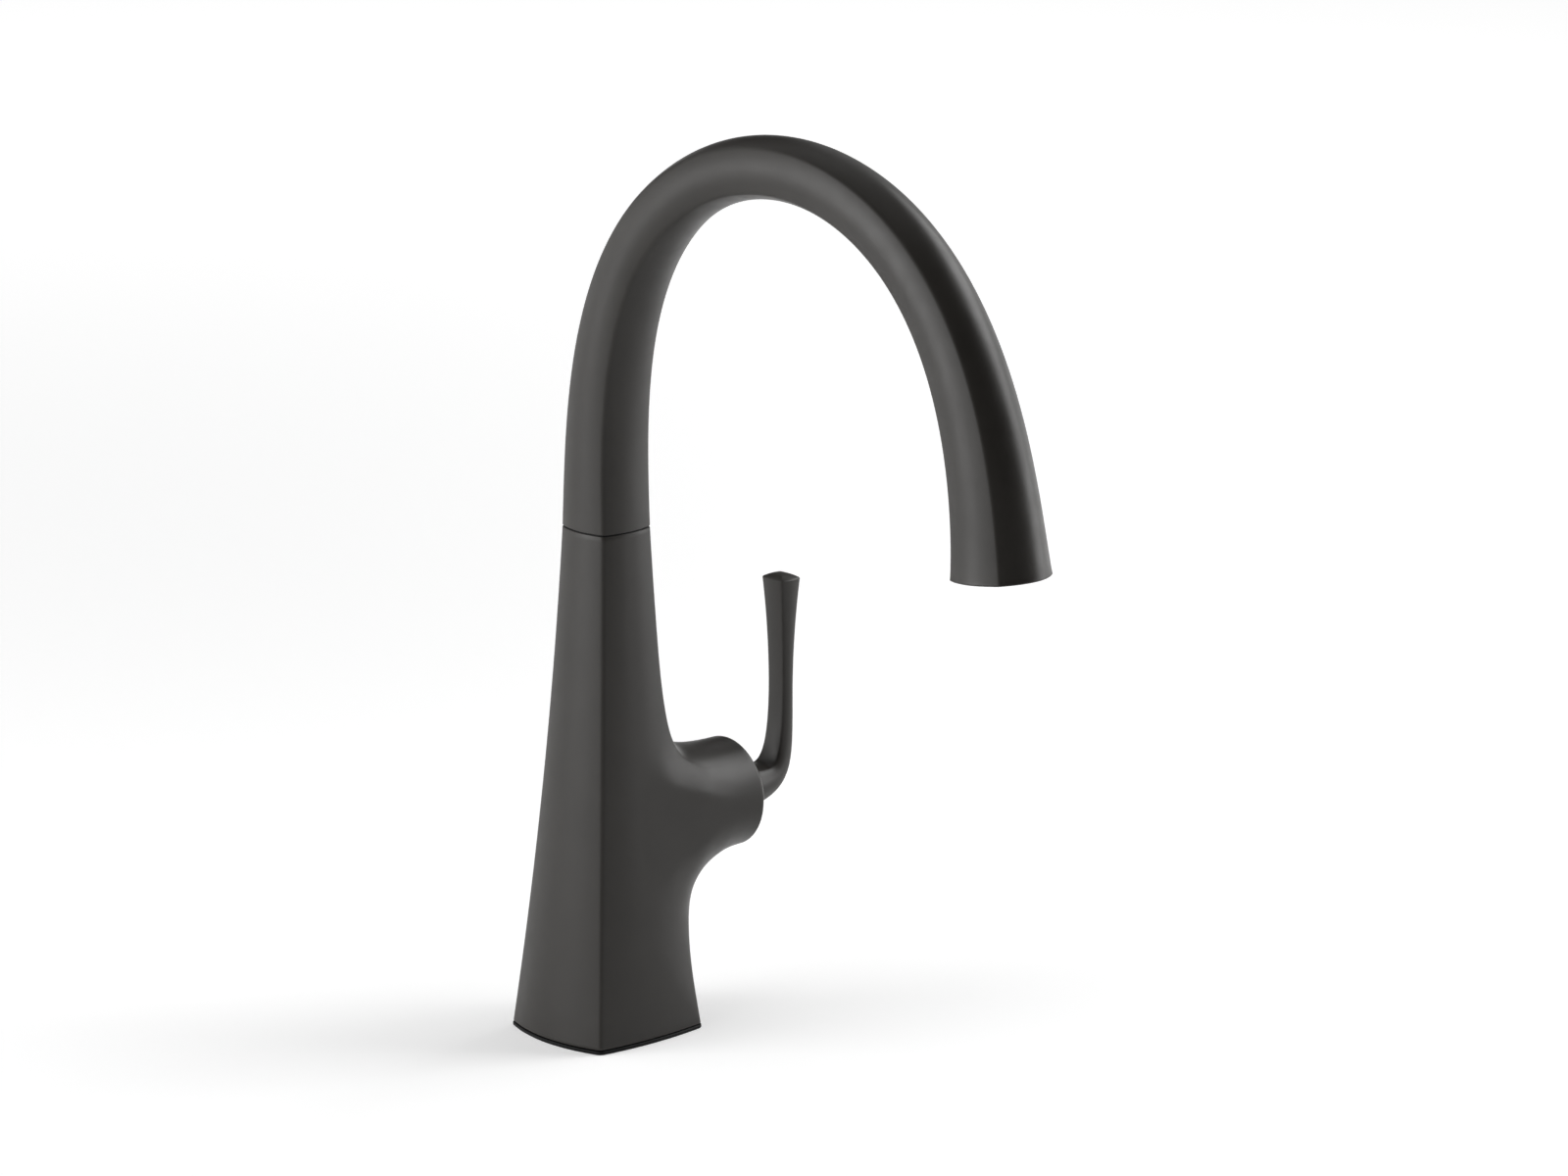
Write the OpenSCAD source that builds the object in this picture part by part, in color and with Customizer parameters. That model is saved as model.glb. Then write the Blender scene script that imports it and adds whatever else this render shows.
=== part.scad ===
// Gooseneck bar faucet: tapered column with a side valve, arched swivel spout and one upright lever.
// The origin is the centre of the foot on the deck. +Z is up, the spout reaches over -Y
// and the valve boss is on +X.

/* [Column] */
// Width of the foot across its flats
foot_w = 52; // [51:0.5:54]
// Height of the black ring under the foot, its groove included
ring_h = 2; // [1.8:0.1:2.4]
// Height of the joint between column and spout
seam_z = 201; // [199:0.5:203]
// Width of the column across its flats at that joint
seam_w = 24.1; // [24:0.1:24.6]
// Slope of each side where the taper reaches the joint
seam_lean = 0.0386; // [0.036:0.001:0.042]
// How far the side faces bow out, as a share of their half width
side_bow = 0.21; // [0.18:0.01:0.24]
// How far back along each face its corners are rounded
corner_r = 1.7; // [1.4:0.1:1.9]
// Wall of the casting
wall = 2.6; // [2.2:0.1:2.7]

/* [Valve boss] */
// Height of the boss's axis above the deck
boss_z = 83.5; // [82:0.5:85]
// Distance of the boss's rim from the column's axis
boss_x = 62.6; // [62.6:0.2:63.4]
// Radius of the boss at its rim
boss_r = 21.6; // [21.6:0.1:22.2]
// Height at which the upper corner lines leave the column for the boss
boss_from_z = 155; // [150:1:160]

/* [Spout] */
// Forward reach from the column's axis to the outlet's centre
reach = 217; // [212:1:222]
// Height of the outlet's centre above the deck
outlet_z = 224; // [220:1:228]
// Inner radius of the tube
channel_r = 9.2; // [8.6:0.2:9.4]

/* [Lever] */
// Distance of the upright lever from the column's axis
lever_x = 90.9; // [90.5:0.1:92]
// Height of the lever's top above the deck
lever_top_z = 164.6; // [150:0.2:170]
// Where the lever's foot meets its dome
lever_root_x = 70; // [69.8:0.1:70.4]

/* [Valve] */
// Place of the lever's pivot along the boss
pivot_x = 57; // [56.8:0.1:57.2]
// Radius of the dome that closes the boss
dome_r = 20; // [19.8:0.05:20]
// Radius of the cartridge
cartridge_r = 14; // [13.9:0.05:14]
// Distance from the pivot to the stem's ball
ball_arm = 8; // [7.8:0.1:8]

/* [Mounting] */
// Radius of the threaded shank
shank_r = 16; // [15.8:0.1:16.2]
// Thickness of the deck that is clamped
deck_t = 25; // [15:1:30]
// Radius of the supply tails
tail_r = 4.76; // [4.7:0.01:4.8]

/* [Hidden] */
$fn = 96;

black = [0.22, 0.21, 0.2];
soft_black = [0.08, 0.08, 0.08];
brass = [0.8, 0.66, 0.36];
steel = [0.75, 0.76, 0.78];
white = [0.93, 0.93, 0.9];

fit = 0.05;                                   // radial clearance of turned pieces
boss_corner = boss_r * cos(45);               // half width of the boss between its corner lines
taper_curve = (foot_w / 2 - seam_w / 2 - seam_lean * (seam_z - ring_h)) / pow(seam_z - ring_h, 2);
glide_h = 0.6;
spout_z = seam_z + glide_h;
boss_bore_r = dome_r + 0.4;
cup_r = 17.7;
seat_x = 28;
base_top_x = seat_x + 4;
shoulder_x = seat_x + 15;
post_r = 8.52;
hub_r = 10.5;
hub_top_z = 226;
tail_y = 7.5;
tail_x = 3;
tail_neck_r = tail_r - 0.3;                   // the tails are drawn down a little above their ends
tail_bottom_z = -deck_t - 55;
port_y = 5.2;
port_z = 2.8;
outlet_port_z = -4.2;
screw_z = 213;                                // height of the spout's retaining screw

// ---- formulas

function clamp(t) = max(0, min(1, t));
function ease(t) = let (c = clamp(t)) c * c * (3 - 2 * c);
function mix(a, b, t) = a + (b - a) * t;
function bezier(p, t) = len(p) == 1 ? p[0] : bezier([for (i = [0 : len(p) - 2]) mix(p[i], p[i + 1], t)], t);
function slope(p, t) = bezier([for (i = [1 : len(p) - 1]) p[i] - p[i - 1]], t);
// height of an arc of half chord c and rise s, at u from -1 to 1 along the chord
function bulge(c, s, u) = let (r = (c * c + s * s) / (2 * s)) sqrt(r * r - u * u * c * c) - (r - s);

// half width of the column's corners at height z
function half_w(z) = seam_w / 2 + seam_lean * (seam_z - z) + taper_curve * pow(seam_z - z, 2);
function front_bow(z) = mix(0.165, 0.08, clamp((seam_z - z) / (seam_z - ring_h)));

// how far a point lies inside the joined outline of column and boss: 1 at the core, 0 on the corner lines
crease = 0.05;                                // how softly the boss's crown meets the column's
function inside(x, z) =
  let (
    blend = mix(1.4, 1.9, ease((x - 15) / 20)),
    column = 1 - pow(x / half_w(z), 2),
    boss = 1 - pow((z - boss_z) / boss_corner, 2),
    d = blend * ln(exp(column / blend) + ease(x / 17) * exp(boss / blend))
  ) 1 - (sqrt(pow(1 - d, 2) + crease * crease) + 1 - d) / 2;

// depth of the front face: a soft square on the column that turns into the boss's round
// only at the boss's height, so that the neck and the foot stay square
function depth(x, z) =
  let (
    from = half_w(z) * max(ease((47 - z) / 53), ease((z - 90) / 49)),
    d = inside(x, z),
    square = half_w(z) * (1 + front_bow(z) * d),
    crown = boss_corner * sqrt(max(0, 1 + d)),
    round = sqrt(max(0, boss_r * boss_r - pow(z - boss_z, 2)))
  ) mix(mix(square, crown, ease((x - from) / (boss_x - from))), round, ease((x - 46) / (boss_x - 46)));

// ---- column

low_line = [
  [half_w(ring_h), ring_h],
  [half_w(ring_h) - 6.1, ring_h + 58.5],
  [boss_x - 20, boss_z - boss_corner],
  [boss_x, boss_z - boss_corner]
];
high_line = [
  [half_w(boss_from_z), boss_from_z],
  [half_w(boss_from_z) + 2.6, boss_from_z - 49],
  [boss_x - 39, boss_z + boss_corner],
  [boss_x, boss_z + boss_corner]
];
low_steps = 12;
high_steps = 10;
rim_steps = 10;
neck_steps = 4;
across = 12;                                  // steps across the front
around = 8;                                   // steps across each side
left_low = 62;                                // left ends of the rows that reach the rim
left_high = 104;
corner_steps = 3;

// the right corners lose their rounding where the boss itself becomes round
function right_round(x) = x > boss_x - 0.01 ? 0 : corner_r * mix(0.12, 1, ease((boss_x - 1 - x) / 8));

// one row of the skin: right end x, z, its normal x, z, the height of its left end, rounding on the right
function line_row(p, d, left) = [p[0], p[1], d[1] / norm(d), -d[0] / norm(d), left, right_round(p[0])];
rows = concat(
  [for (i = [0 : low_steps]) let (t = i / low_steps)
    line_row(bezier(low_line, t), slope(low_line, t), mix(ring_h, left_low, t))],
  [for (i = [1 : rim_steps - 1]) let (t = i / rim_steps)
    [boss_x, boss_z + boss_r * sin(mix(-45, 45, t)), 1, 0, mix(left_low, left_high, t), 0]],
  [for (i = [0 : high_steps]) let (t = 1 - i / high_steps)
    line_row(bezier(high_line, t), -slope(high_line, t), mix(boss_from_z, left_high, t))],
  [for (i = [1 : neck_steps]) let (z = mix(boss_from_z, seam_z, i / neck_steps))
    [half_w(z), z, 1, 0, z, corner_r]]
);
rim_low = low_steps;
rim_high = rim_low + rim_steps;
last = len(rows) - 1;

function front_point(r, s) =
  let (x = mix(-half_w(r[4]), r[0], s), z = mix(r[4], r[1], s)) [x, -depth(x, z), z];
function left_point(r, u) =
  let (h = half_w(r[4]), c = depth(-h, r[4])) [-h - bulge(c, side_bow * h, u), -u * c, r[4]];
function right_point(r, u) =
  let (
    c = depth(r[0], r[1]),
    rise = mix(side_bow * half_w(r[1]), boss_r - boss_corner, ease((r[0] - 19) / (boss_x - 19))),
    b = bulge(c, rise, u)
  ) [r[0] + b * r[2], u * c, r[1] + b * r[3]];

// shares of a row at which its front begins and ends, between the rounded corners
function front_from(r) = corner_r / (r[0] + half_w(r[4]));
function front_to(r) = 1 - r[5] / (r[0] + half_w(r[4]));
function left_edge(r) = 1 - corner_r / depth(-half_w(r[4]), r[4]);
function right_edge(r) = 1 - r[5] / depth(r[0], r[1]);

// steps round a corner, away from the front
function left_corner(r, m) =
  bezier([front_point(r, front_from(r)), front_point(r, 0), left_point(r, left_edge(r))], m / corner_steps);
function right_corner(r, m) =
  bezier([front_point(r, front_to(r)), front_point(r, 1), right_point(r, -right_edge(r))], m / corner_steps);

module column_skin() {
  side = across + 1;
  inner = around - 1;
  n = corner_steps;
  plain_rows = concat([for (i = [0 : rim_low - 1]) rows[i]], [for (i = [rim_high + 1 : last]) rows[i]]);
  right_rows = concat([for (i = [0 : rim_low]) rows[i]], [for (i = [rim_high : last]) rows[i]]);
  front = [for (r = rows) for (j = [0 : across])
    front_point(r, mix(front_from(r), front_to(r), j / across))];
  corners = concat(
    [for (r = rows) for (m = [1 : n]) left_corner(r, m)],
    [for (r = plain_rows) for (m = [1 : n]) right_corner(r, m)]
  );
  half = concat(front, corners);
  other_half = [for (p = half) [p[0], -p[1], p[2]]];
  left = [for (r = rows) for (j = [1 : inner]) left_point(r, left_edge(r) * mix(-1, 1, j / around))];
  right = [for (r = right_rows) for (j = [1 : inner])
    right_point(r, right_edge(r) * mix(-1, 1, j / around))];
  left_corners_0 = len(front);
  right_corners_0 = left_corners_0 + len(rows) * n;
  left_0 = 2 * len(half);
  right_0 = left_0 + len(left);
  // the number of a point: f on the front, lc and rc round its corners, l and r on the sides;
  // h is 1 at the back
  function f(h, i, j) = h * len(half) + i * side + j;
  function lc(h, i, m) = m == 0 ? f(h, i, 0) : h * len(half) + left_corners_0 + i * n + m - 1;
  function rc(h, i, m) = m == 0 || (i >= rim_low && i <= rim_high) ? f(h, i, across)
    : h * len(half) + right_corners_0 + (i < rim_low ? i : i - rim_steps - 1) * n + m - 1;
  function l(i, j) = j == 0 ? lc(1, i, n) : j == around ? lc(0, i, n) : left_0 + i * inner + j - 1;
  function r(i, j) = j == 0 ? rc(0, i, n) : j == around ? rc(1, i, n)
    : right_0 + (i <= rim_low ? i : i - rim_steps + 1) * inner + j - 1;
  // the whole loop of a row, from the front left corner round the back to the front again
  function loop(i) = concat(
    [for (j = [around : -1 : 0]) l(i, j)],
    [for (m = [n - 1 : -1 : 0]) lc(1, i, m)],
    [for (j = [1 : across]) f(1, i, j)],
    [for (m = [1 : n]) rc(1, i, m)],
    [for (j = [inner : -1 : 0]) r(i, j)],
    [for (m = [n - 1 : -1 : 0]) rc(0, i, m)],
    [for (j = [across - 1 : -1 : 0]) f(0, i, j)],
    [for (m = [1 : n]) lc(0, i, m)]
  );
  // a row whose right end is on the rim has no right side
  function open_loop(i) = concat(
    [for (j = [across - 1 : -1 : 0]) f(0, i, j)],
    [for (m = [1 : n]) lc(0, i, m)],
    [for (j = [inner : -1 : 0]) l(i, j)],
    [for (m = [n - 1 : -1 : 0]) lc(1, i, m)],
    [for (j = [1 : across]) f(1, i, j)]
  );
  function strip(a, b) = [for (k = [0 : len(a) - 2])
    each [[a[k], a[k + 1], b[k + 1]], [a[k], b[k + 1], b[k]]]];
  sheets = [for (i = [0 : last - 1])
    each i < rim_low || i >= rim_high ? strip(loop(i), loop(i + 1))
      : strip(concat([f(0, i, across)], open_loop(i)), concat([f(0, i + 1, across)], open_loop(i + 1)))];
  rim = concat(
    [for (i = [rim_low : rim_high]) f(0, i, across)],
    [for (j = [1 : inner]) r(rim_high, j)],
    [for (i = [rim_high : -1 : rim_low]) f(1, i, across)],
    [for (j = [inner : -1 : 1]) r(rim_low, j)]
  );
  foot = loop(0);
  top = loop(last);
  polyhedron(
    points = concat(half, other_half, left, right),
    faces = concat(
      [for (t = sheets) if (t[0] != t[1] && t[1] != t[2] && t[0] != t[2]) t],
      [rim, [for (k = [0 : len(top) - 2]) top[k]], [for (k = [len(foot) - 2 : -1 : 0]) foot[k]]]
    )
  );
}

// a square prism through the given heights, wall thick inside the column
module column_cavity() {
  levels = [12, 50, 100, 150, 184];
  corners = [[-1, -1], [-1, 1], [1, 1], [1, -1]];
  points = [for (z = levels) for (c = corners) let (h = half_w(z) - wall) [h * c[0], h * c[1], z]];
  n = len(levels);
  polyhedron(points, concat(
    [[3, 2, 1, 0], [for (k = [0 : 3]) 4 * (n - 1) + k]],
    [for (i = [0 : n - 2]) for (k = [0 : 3]) let (a = 4 * i + k, b = 4 * i + (k + 1) % 4)
      each [[a, b, b + 4], [a, b + 4, a + 4]]]
  ));
}

// a cylinder along the boss's axis from x = from to x = to
module along_boss(r, from, to, y = 0, z = 0) {
  translate([from, y, boss_z + z]) rotate([0, 90, 0]) cylinder(r = r, h = to - from);
}

module column_shell() {
  color(black) difference() {
    column_skin();
    column_cavity();
    along_boss(cup_r + fit, 12, 47);
    along_boss(boss_bore_r, 46.4, boss_x + 1);
    translate([0, 0, ring_h - 1]) cylinder(r = shank_r + fit, h = 12);
    translate([0, 0, 183]) cylinder(r = post_r + 0.18, h = 20);
    translate([0, 0, seam_z - 2]) cylinder(r = 10.6, h = 3);
  }
}

// points round a soft square, from corner to corner:
// [side, place along it, 0] or [side, place round its corner, 1]
side_steps = 4;
unit_ring = [for (s = [0 : 3]) each concat(
  [for (i = [0 : side_steps]) [s, mix(-1, 1, i / side_steps), 0]],
  [for (m = [1 : corner_steps - 1]) [s, m / corner_steps, 1]]
)];
function soft_side(s, u, a, b, bow_a, bow_b) =
  let (qa = a * (1 + bow_a * (1 - u * u)), qb = b * (1 + bow_b * (1 - u * u)))
  s == 0 ? [-qa, u * b] : s == 1 ? [u * a, qb] : s == 2 ? [qa, -u * b] : [-u * a, -qb];

// point k of a soft square of half sizes a (across) and b (along), its corners rounded by r
function soft_point(k, a, b, bow_a, bow_b, r) =
  let (
    s = unit_ring[k][0],
    v = unit_ring[k][1],
    here = 1 - r / (s % 2 == 0 ? b : a),
    next = 1 - r / (s % 2 == 0 ? a : b)
  )
  unit_ring[k][2] == 0 ? soft_side(s, v * here, a, b, bow_a, bow_b)
  : bezier([
      soft_side(s, here, a, b, bow_a, bow_b),
      soft_side(s, 1, a, b, bow_a, bow_b),
      soft_side((s + 1) % 4, -next, a, b, bow_a, bow_b)
    ], v);

module tube_of_rings(points, n, rings, closed) {
  faces = [for (i = [0 : rings - (closed ? 1 : 2)]) for (k = [0 : n - 1])
    let (
      next = (i + 1) % rings,
      a = i * n + k,
      b = i * n + (k + 1) % n,
      c = next * n + (k + 1) % n,
      d = next * n + k
    ) each [[a, b, c], [a, c, d]]];
  ends = closed ? [] : [[for (k = [n - 1 : -1 : 0]) k], [for (k = [0 : n - 1]) (rings - 1) * n + k]];
  polyhedron(points, concat(faces, ends));
}

// the column's outline at half width h
module soft_square(h, side, front) {
  polygon([for (k = [len(unit_ring) - 1 : -1 : 0]) soft_point(k, h, h, side, front, corner_r)]);
}

foot_front_bow = 0.08;
ring_lip = 0.25;                              // how far the ring stands out from the foot
groove_h = 0.45;
groove_d = 1.1;
ring_edge = 0.3;
gasket_h = 0.6;
gasket_inset = 2.6;

// the ring has bevelled edges and a groove above it
module base_ring() {
  h = foot_w / 2 + ring_lip;
  profile = [
    [ring_edge, 0], [0, ring_edge], [0, ring_h - groove_h - ring_edge], [ring_edge, ring_h - groove_h],
    [groove_d, ring_h - groove_h], [groove_d, ring_h]
  ];
  n = len(unit_ring);
  color(soft_black) difference() {
    tube_of_rings([for (p = profile) for (k = [0 : n - 1])
      let (q = soft_point(k, h - p[0], h - p[0], side_bow, foot_front_bow, corner_r)) [q[0], q[1], p[1]]],
      n, len(profile), false);
    translate([0, 0, -1]) linear_extrude(gasket_h + 1)
      soft_square(h - gasket_inset, side_bow, foot_front_bow);
    cylinder(r = 21, h = 9, center = true);
  }
}

module base_gasket() {
  color(soft_black) linear_extrude(gasket_h) difference() {
    soft_square(foot_w / 2 + ring_lip - gasket_inset, side_bow, foot_front_bow);
    circle(r = 21);
  }
}

module glide_ring() {
  color(soft_black) translate([0, 0, seam_z]) linear_extrude(glide_h) difference() {
    soft_square(seam_w / 2 - 0.35, side_bow, 0.165);
    circle(r = 10.6);
  }
}

// ---- valve body and supply

module valve_body() {
  color(brass) difference() {
    union() {
      along_boss(15.5, -13, seat_x);
      along_boss(cup_r, seat_x - 3, 46.3);
    }
    along_boss(cartridge_r + fit, seat_x, 47);
    along_boss(15.2, shoulder_x, 47);
    for (side = [-1, 1]) {
      along_boss(1.9, tail_x, seat_x + 1, side * port_y, port_z);
      along_boss(1.25, seat_x - 2, seat_x + 1, side * 10.5);
      translate([tail_x, side * tail_y, boss_z - 20]) cylinder(r = 3, h = 20 + port_z + 1);
      translate([tail_x, side * tail_y, boss_z - 20]) cylinder(r = tail_neck_r + 0.02, h = 13);
    }
    along_boss(2.2, -1, seat_x + 1, 0, outlet_port_z);
    translate([0, 0, boss_z + outlet_port_z]) cylinder(r = 3.5, h = 20);
    translate([0, 0, boss_z + 8]) cylinder(r = 6.52, h = 10);
  }
}

module inlet_tail(side) {
  color(brass) translate([tail_x, side * tail_y, tail_bottom_z]) difference() {
    union() {
      cylinder(r = tail_r, h = 16);
      cylinder(r = tail_neck_r, h = boss_z - 7 - tail_bottom_z);
    }
    translate([0, 0, -1]) cylinder(r = 3.2, h = 200);
  }
}

module hot_inlet_tail() {
  inlet_tail(-1);
}

module cold_inlet_tail() {
  inlet_tail(1);
}

// ---- cartridge

module ports(r, from, to) {
  for (side = [-1, 1]) along_boss(r, from, to, side * port_y, port_z);
  along_boss(r + 0.3, from, to, 0, outlet_port_z);
}

module cartridge_base() {
  color(white) difference() {
    union() {
      along_boss(cartridge_r, seat_x, base_top_x);
      for (side = [-1, 1]) along_boss(1.2, seat_x - 1.8, seat_x + 1, side * 10.5);
    }
    ports(1.9, seat_x - 1, base_top_x + 1);
    for (p = [[-port_y, port_z], [port_y, port_z], [0, outlet_port_z]]) {
      translate([seat_x - 1, p[0], boss_z + p[1]]) rotate([0, 90, 0]) difference() {
        cylinder(r = 3.95, h = 2.1);
        cylinder(r = 2.8, h = 2.1);
      }
    }
  }
}

module cartridge_seals() {
  color(soft_black) for (p = [[-port_y, port_z], [port_y, port_z], [0, outlet_port_z]])
    translate([seat_x + 0.55, p[0], boss_z + p[1]]) rotate([0, 90, 0])
      rotate_extrude() translate([3.38, 0]) circle(r = 0.54, $fn = 32);
}

module fixed_disc() {
  color(white) difference() {
    along_boss(12.1, base_top_x, base_top_x + 3);
    ports(1.9, base_top_x - 1, base_top_x + 4);
  }
}

module cartridge_housing() {
  color(white) difference() {
    union() {
      along_boss(cartridge_r, base_top_x, shoulder_x);
      along_boss(11.5, shoulder_x - 1, pivot_x + 3.5);
    }
    along_boss(12.2, base_top_x - 1, shoulder_x - 1.4);
    along_boss(9.55, shoulder_x - 3, pivot_x + 4);
  }
}

module bonnet_nut() {
  color(brass) difference() {
    along_boss(15.15, shoulder_x, 48);
    along_boss(11.6, shoulder_x - 1, 49);
    for (a = [0 : 60 : 300])
      translate([0, 0, boss_z]) rotate([a, 0, 0]) translate([46.8, -1.5, 12.6]) cube([2, 3, 4]);
  }
}

slot_half = 4.1;

module cartridge_rotor() {
  color(white) difference() {
    union() {
      along_boss(12.1, shoulder_x - 3, shoulder_x - 1.5);
      along_boss(9.5, shoulder_x - 2, pivot_x + 3);
    }
    translate([shoulder_x - 4, -slot_half, boss_z - 4.2]) cube([13, 2 * slot_half, 12.3]);
    translate([shoulder_x + 7, -3.65, boss_z - 6]) cube([14, 7.3, 12.8]);
    translate([pivot_x, -10, boss_z]) rotate([-90, 0, 0]) cylinder(r = 2, h = 20);
  }
}

module pivot_pin() {
  color(steel) translate([pivot_x, -8.6, boss_z]) rotate([-90, 0, 0]) cylinder(r = 2, h = 17.2);
}

disc_r = 9.1;
disc_top_x = base_top_x + 5.6;

module disc_carrier() {
  color(white) difference() {
    union() {
      along_boss(disc_r, disc_top_x, disc_top_x + 2);
      translate([disc_top_x + 1, -4, boss_z - 4]) cube([pivot_x - 6 - disc_top_x - 1, 8, 8]);
    }
    along_boss(2.75, pivot_x - ball_arm - 3.5, pivot_x);
  }
}

module moving_disc() {
  color([0.98, 0.98, 0.96]) difference() {
    along_boss(disc_r, base_top_x + 3.02, disc_top_x);
    along_boss(4.1, base_top_x + 2, base_top_x + 4.2, 0, -2.2);
  }
}

module cartridge_stem() {
  color(brass) difference() {
    union() {
      translate([pivot_x - 3.5, -3.5, boss_z - 3.5]) cube([22.5, 7, 7]);
      along_boss(1.8, pivot_x - ball_arm, pivot_x - 3);
      translate([pivot_x - ball_arm, 0, boss_z]) sphere(r = 2.65);
    }
    translate([pivot_x, -5, boss_z]) rotate([-90, 0, 0]) cylinder(r = 2 + fit, h = 10);
  }
}

// ---- lever

// the dome is a ball round the pivot where it runs inside the rim, and flattens outside it
module dome_outline(r, rear, rim, rise) {
  n = 24;
  edge = sqrt(r * r - rim * rim);
  polygon(concat(
    [[0, rear]],
    [for (i = [0 : n]) let (x = mix(rear, rim, i / n)) [sqrt(r * r - x * x), x]],
    [for (i = [1 : n]) let (a = 90 * i / n) [edge * cos(a), rim + rise * sin(a)]]
  ));
}

module handle_dome() {
  color(black) translate([pivot_x, 0, boss_z]) rotate([0, 90, 0]) difference() {
    rotate_extrude() intersection() {
      dome_outline(dome_r, -2.4, boss_x - pivot_x + 0.3, 8.2);
      square([dome_r, lever_root_x - pivot_x]);
    }
    rotate_extrude() dome_outline(dome_r - 1.8, -3, boss_x - pivot_x - 0.6, 6.2);
    translate([-3.5, -3.5, 0]) cube([7, 7, 20]);
  }
}

lever_bend = [
  [lever_root_x, boss_z], [lever_x - 2.4, boss_z], [lever_x, boss_z + 5], [lever_x, boss_z + 38.5]
];
bend_steps = 15;
shaft_steps = 9;
waist = [2.52, 4.42];                         // half sizes at the slimmest place: across, front to back
root = [6.7, 6.7];
flare = [0.00107, 0.0007];
lever_bow = 0.13;
crown_h = 1.62;

// a ring of the lever: place, direction angle from +X, half sizes, bow
lever_rings = concat(
  [for (i = [0 : bend_steps]) let (t = i / bend_steps, d = slope(lever_bend, t))
    [
      bezier(lever_bend, t),
      atan2(d[1], d[0]),
      mix(waist, root, pow(1 - t, 1.66)),
      mix(lever_bow, 0.41, pow(1 - t, 2))
    ]],
  [for (i = [1 : shaft_steps]) let (z = mix(boss_z + 38.5, lever_top_z, i / shaft_steps))
    [[lever_x, z], 90, waist + flare * pow(max(0, z - boss_z - 35.5), 2), lever_bow]]
);
// the crowned top
lever_crown = [for (k = [[0.92, 0.22], [0.6, 0.75], [0.2, 1]])
  let (r = lever_rings[len(lever_rings) - 1]) [r[0] + [0, crown_h * k[1]], 90, r[2] * k[0], lever_bow]];

lever_round = 0.5;

module lever() {
  n = len(unit_ring);
  rings = concat(lever_rings, lever_crown);
  color(black) difference() {
    tube_of_rings([for (r = rings) for (k = [0 : n - 1])
      let (
        a = r[2][0],
        b = r[2][1],
        p = soft_point(k, a, b, r[3], r[3], lever_round * min(1, a / waist[0]))
      )
      [r[0][0] + p[0] * sin(r[1]), p[1], r[0][1] - p[0] * cos(r[1])]], n, len(rings), false);
    translate([lever_root_x - 1, -3.5, boss_z - 3.5]) cube([7, 7, 7]);
    translate([pivot_x + 16.5, 0, boss_z - 14]) cylinder(r = 2.1, h = 14);
  }
}

module handle_screw() {
  color(steel) translate([pivot_x + 16.5, 0, boss_z - 6.7]) difference() {
    cylinder(r = 2.08, h = 3.2);
    translate([0, 0, -1]) cylinder(r = 1, h = 2.6, $fn = 6);
  }
}

module handle_screw_plug() {
  color(black) translate([pivot_x + 16.5, 0, boss_z - 8]) cylinder(r = 2.08, h = 1.3);
}

// ---- spout

spout_line = [
  [0, spout_z], [0, 248], [-2, 336.5], [25, 384], [reach - 51.6, 394.4],
  [reach - 14, outlet_z + 128], [reach - 3.2, outlet_z + 28], [reach, outlet_z]
];
spout_across = [12.05, 11.3, 8.2, 8.7, 13.5];
spout_along = [12.05, 8.9, 7.2, 8.8, 13];
spout_bow = [0.165, 0.45, 0.44];
spout_steps = 40;
outlet_round = 0.6;
outlet_tilt = atan(3.2 / 28);

// place a piece on the outlet's axis, with +Z running up into the spout
module at_outlet() {
  translate([0, -reach, outlet_z]) rotate([-outlet_tilt, 0, 0]) children();
}

function spout_ring(i, outer) =
  let (
    t = i / spout_steps,
    p = bezier(spout_line, t),
    d = slope(spout_line, t),
    l = norm(d),
    out = [-d[1] / l, d[0] / l],
    a = outer ? bezier(spout_across, t) : channel_r * cos(45),
    b = outer ? bezier(spout_along, t) : channel_r * cos(45),
    bow_a = outer ? mix(0.21, 0.24, t) : 0.4,
    bow_b = outer ? bezier(spout_bow, t) : 0.4
  )
  [for (k = [0 : len(unit_ring) - 1])
    let (q = soft_point(k, a, b, bow_a, bow_b, mix(corner_r, outlet_round, t)))
    [q[0], -p[0] - out[0] * q[1], p[1] + out[1] * q[1]]];

module spout_tube() {
  outer = [for (i = [0 : spout_steps]) each spout_ring(i, true)];
  inner = [for (i = [spout_steps : -1 : 0]) each spout_ring(i, false)];
  color(black) difference() {
    tube_of_rings(concat(outer, inner), len(unit_ring), 2 * (spout_steps + 1), true);
    translate([0, 0, spout_z - 1]) cylinder(r = hub_r, h = hub_top_z - spout_z + 1);
    at_outlet() translate([0, 0, -2]) cylinder(r = 12.02, h = 14);
    translate([0, 9, screw_z]) rotate([-90, 0, 0]) cylinder(r = 2.02, h = 10);
  }
}

module spout_hub() {
  color(white) difference() {
    translate([0, 0, spout_z + 0.2]) cylinder(r = hub_r - 0.02, h = hub_top_z - spout_z - 0.3);
    translate([0, 0, spout_z - 1]) cylinder(r = post_r + 0.08, h = 40);
    translate([0, 5, screw_z]) rotate([-90, 0, 0]) cylinder(r = 2.02, h = 10);
  }
}

module spout_screw() {
  color(steel) translate([0, 7.8, screw_z]) rotate([-90, 0, 0]) difference() {
    union() {
      cylinder(r = 1.5, h = 1.2);
      translate([0, 0, 1]) cylinder(r = 2, h = 4.6);
    }
    translate([0, 0, 3.6]) cylinder(r = 1, h = 4, $fn = 6);
  }
}

ring_heights = [206, 220];

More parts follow.
